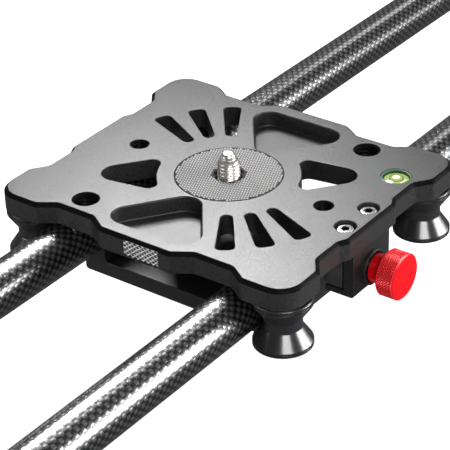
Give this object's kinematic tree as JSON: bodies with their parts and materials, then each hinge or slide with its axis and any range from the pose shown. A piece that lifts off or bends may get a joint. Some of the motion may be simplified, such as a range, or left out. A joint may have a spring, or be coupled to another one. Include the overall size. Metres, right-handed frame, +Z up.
{
  "type": "camera slider",
  "caption": "Camera slider: flat pierced carriage on grooved rollers riding two carbon tubes, with centre bracket, lock knob, bubble level, end blocks and screw feet.",
  "frame": {"origin": "on the floor under the middle of the slider, centre of the bounding box base", "axes": "+X along the rods, +Y across them away from the lock knob, +Z up"},
  "size_m": [0.8, 0.198, 0.08],
  "materials": {
    "black_anodised": "bead blasted, black anodised",
    "steel": "bright turned stainless steel",
    "black_steel": "black oxide steel",
    "carbon": "clear coated carbon fibre weave",
    "rubber": "matte black rubber",
    "pad_rubber": "grey studded rubber",
    "roller_black": "polished black",
    "black_plastic": "matte black",
    "red_anodised": "gloss red anodised, knurled rim",
    "level_green": "dark green acrylic",
    "level_liquid": "clear pale green vial"
  },
  "bodies": {
    "frame": {"rod_near": "carbon", "rod_far": "carbon", "rod_insert_near": "steel", "rod_insert_far": "steel", "end_block_left": "black_anodised", "end_block_right": "black_anodised", "centre_bracket": "black_anodised", "rod_plug_near_left": "black_plastic", "rod_plug_near_right": "black_plastic", "rod_plug_far_left": "black_plastic", "rod_plug_far_right": "black_plastic", "set_screw_near_left": "black_steel", "set_screw_near_right": "black_steel", "set_screw_far_left": "black_steel", "set_screw_far_right": "black_steel", "bumper_near_left": "rubber", "bumper_near_right": "rubber", "bumper_far_left": "rubber", "bumper_far_right": "rubber", "bracket_screw_near_left": "black_steel", "bracket_screw_near_right": "black_steel", "bracket_screw_far_left": "black_steel", "bracket_screw_far_right": "black_steel"},
    "carriage": {"carriage_plate": "black_anodised", "edge_grip": "black_anodised", "camera_pad": "pad_rubber", "level_ring": "level_green", "level_vial": "level_liquid", "lock_block": "black_anodised", "lock_screw_left": "black_steel", "lock_screw_right": "black_steel", "roller_bolt_near_left": "black_steel", "roller_bolt_near_right": "black_steel", "roller_bolt_far_left": "black_steel", "roller_bolt_far_right": "black_steel"},
    "camera_screw": {"camera_screw": "steel", "camera_screw_wheel": "black_anodised"},
    "lock_shoe": {"brake_shoe": "black_plastic", "brake_pad": "rubber"},
    "lock_knob": {"lock_spindle": "steel", "lock_knob": "red_anodised"},
    "roller_near_left": {"roller_near_left": "roller_black", "roller_bearing_near_left": "steel"},
    "foot_pad_near_left": {"foot_pad_near_left": "rubber"},
    "foot_screw_near_left": {"foot_screw_near_left": "steel"},
    "roller_near_right": {"roller_near_right": "roller_black", "roller_bearing_near_right": "steel"},
    "foot_pad_near_right": {"foot_pad_near_right": "rubber"},
    "foot_screw_near_right": {"foot_screw_near_right": "steel"},
    "roller_far_left": {"roller_far_left": "roller_black", "roller_bearing_far_left": "steel"},
    "foot_pad_far_left": {"foot_pad_far_left": "rubber"},
    "foot_screw_far_left": {"foot_screw_far_left": "steel"},
    "roller_far_right": {"roller_far_right": "roller_black", "roller_bearing_far_right": "steel"},
    "foot_pad_far_right": {"foot_pad_far_right": "rubber"},
    "foot_screw_far_right": {"foot_screw_far_right": "steel"}
  },
  "joints": [
    {"name": "carriage_slide", "type": "slide", "parent": "frame", "child": "carriage", "axis": [1, 0, 0], "range_m": [-0.3, 0.3]},
    {"name": "camera_screw_turn", "type": "hinge", "parent": "carriage", "child": "camera_screw", "pos_m": [0, 0, 0.07], "axis": [0, 0, 1], "continuous": true},
    {"name": "lock_shoe_slide", "type": "slide", "parent": "carriage", "child": "lock_shoe", "axis": [0, 1, 0], "range_m": [0, 0.001]},
    {"name": "lock_knob_turn", "type": "hinge", "parent": "lock_shoe", "child": "lock_knob", "pos_m": [0, -0.08, 0.05], "axis": [0, 1, 0], "range_deg": [0, 360]},
    {"name": "roller_turn_near_left", "type": "hinge", "parent": "carriage", "child": "roller_near_left", "pos_m": [-0.05, -0.0609, 0.0496], "axis": [0, 0, 1], "continuous": true},
    {"name": "foot_lift_near_left", "type": "slide", "parent": "frame", "child": "foot_pad_near_left", "axis": [0, 0, 1], "range_m": [-0.0059, 0.0059]},
    {"name": "foot_turn_near_left", "type": "hinge", "parent": "foot_pad_near_left", "child": "foot_screw_near_left", "pos_m": [-0.386, -0.086, 0.016], "axis": [0, 0, 1], "range_deg": [-1700, 1700]},
    {"name": "roller_turn_near_right", "type": "hinge", "parent": "carriage", "child": "roller_near_right", "pos_m": [0.05, -0.0609, 0.0496], "axis": [0, 0, 1], "continuous": true},
    {"name": "foot_lift_near_right", "type": "slide", "parent": "frame", "child": "foot_pad_near_right", "axis": [0, 0, 1], "range_m": [-0.0059, 0.0059]},
    {"name": "foot_turn_near_right", "type": "hinge", "parent": "foot_pad_near_right", "child": "foot_screw_near_right", "pos_m": [0.386, -0.086, 0.016], "axis": [0, 0, 1], "range_deg": [-1700, 1700]},
    {"name": "roller_turn_far_left", "type": "hinge", "parent": "carriage", "child": "roller_far_left", "pos_m": [-0.05, 0.0609, 0.0496], "axis": [0, 0, 1], "continuous": true},
    {"name": "foot_lift_far_left", "type": "slide", "parent": "frame", "child": "foot_pad_far_left", "axis": [0, 0, 1], "range_m": [-0.0059, 0.0059]},
    {"name": "foot_turn_far_left", "type": "hinge", "parent": "foot_pad_far_left", "child": "foot_screw_far_left", "pos_m": [-0.386, 0.086, 0.016], "axis": [0, 0, 1], "range_deg": [-1700, 1700]},
    {"name": "roller_turn_far_right", "type": "hinge", "parent": "carriage", "child": "roller_far_right", "pos_m": [0.05, 0.0609, 0.0496], "axis": [0, 0, 1], "continuous": true},
    {"name": "foot_lift_far_right", "type": "slide", "parent": "frame", "child": "foot_pad_far_right", "axis": [0, 0, 1], "range_m": [-0.0059, 0.0059]},
    {"name": "foot_turn_far_right", "type": "hinge", "parent": "foot_pad_far_right", "child": "foot_screw_far_right", "pos_m": [0.386, 0.086, 0.016], "axis": [0, 0, 1], "range_deg": [-1700, 1700]}
  ],
  "couplings": [
    {"joint": "lock_knob_turn", "follows": "lock_shoe_slide", "rad_per_m": 6283},
    {"joint": "roller_turn_near_left", "follows": "carriage_slide", "rad_per_m": 98.2},
    {"joint": "foot_turn_near_left", "follows": "foot_lift_near_left", "rad_per_m": 5026.6},
    {"joint": "roller_turn_near_right", "follows": "carriage_slide", "rad_per_m": 98.2},
    {"joint": "foot_turn_near_right", "follows": "foot_lift_near_right", "rad_per_m": 5026.6},
    {"joint": "roller_turn_far_left", "follows": "carriage_slide", "rad_per_m": -98.2},
    {"joint": "foot_turn_far_left", "follows": "foot_lift_far_left", "rad_per_m": 5026.6},
    {"joint": "roller_turn_far_right", "follows": "carriage_slide", "rad_per_m": -98.2},
    {"joint": "foot_turn_far_right", "follows": "foot_lift_far_right", "rad_per_m": 5026.6}
  ]
}
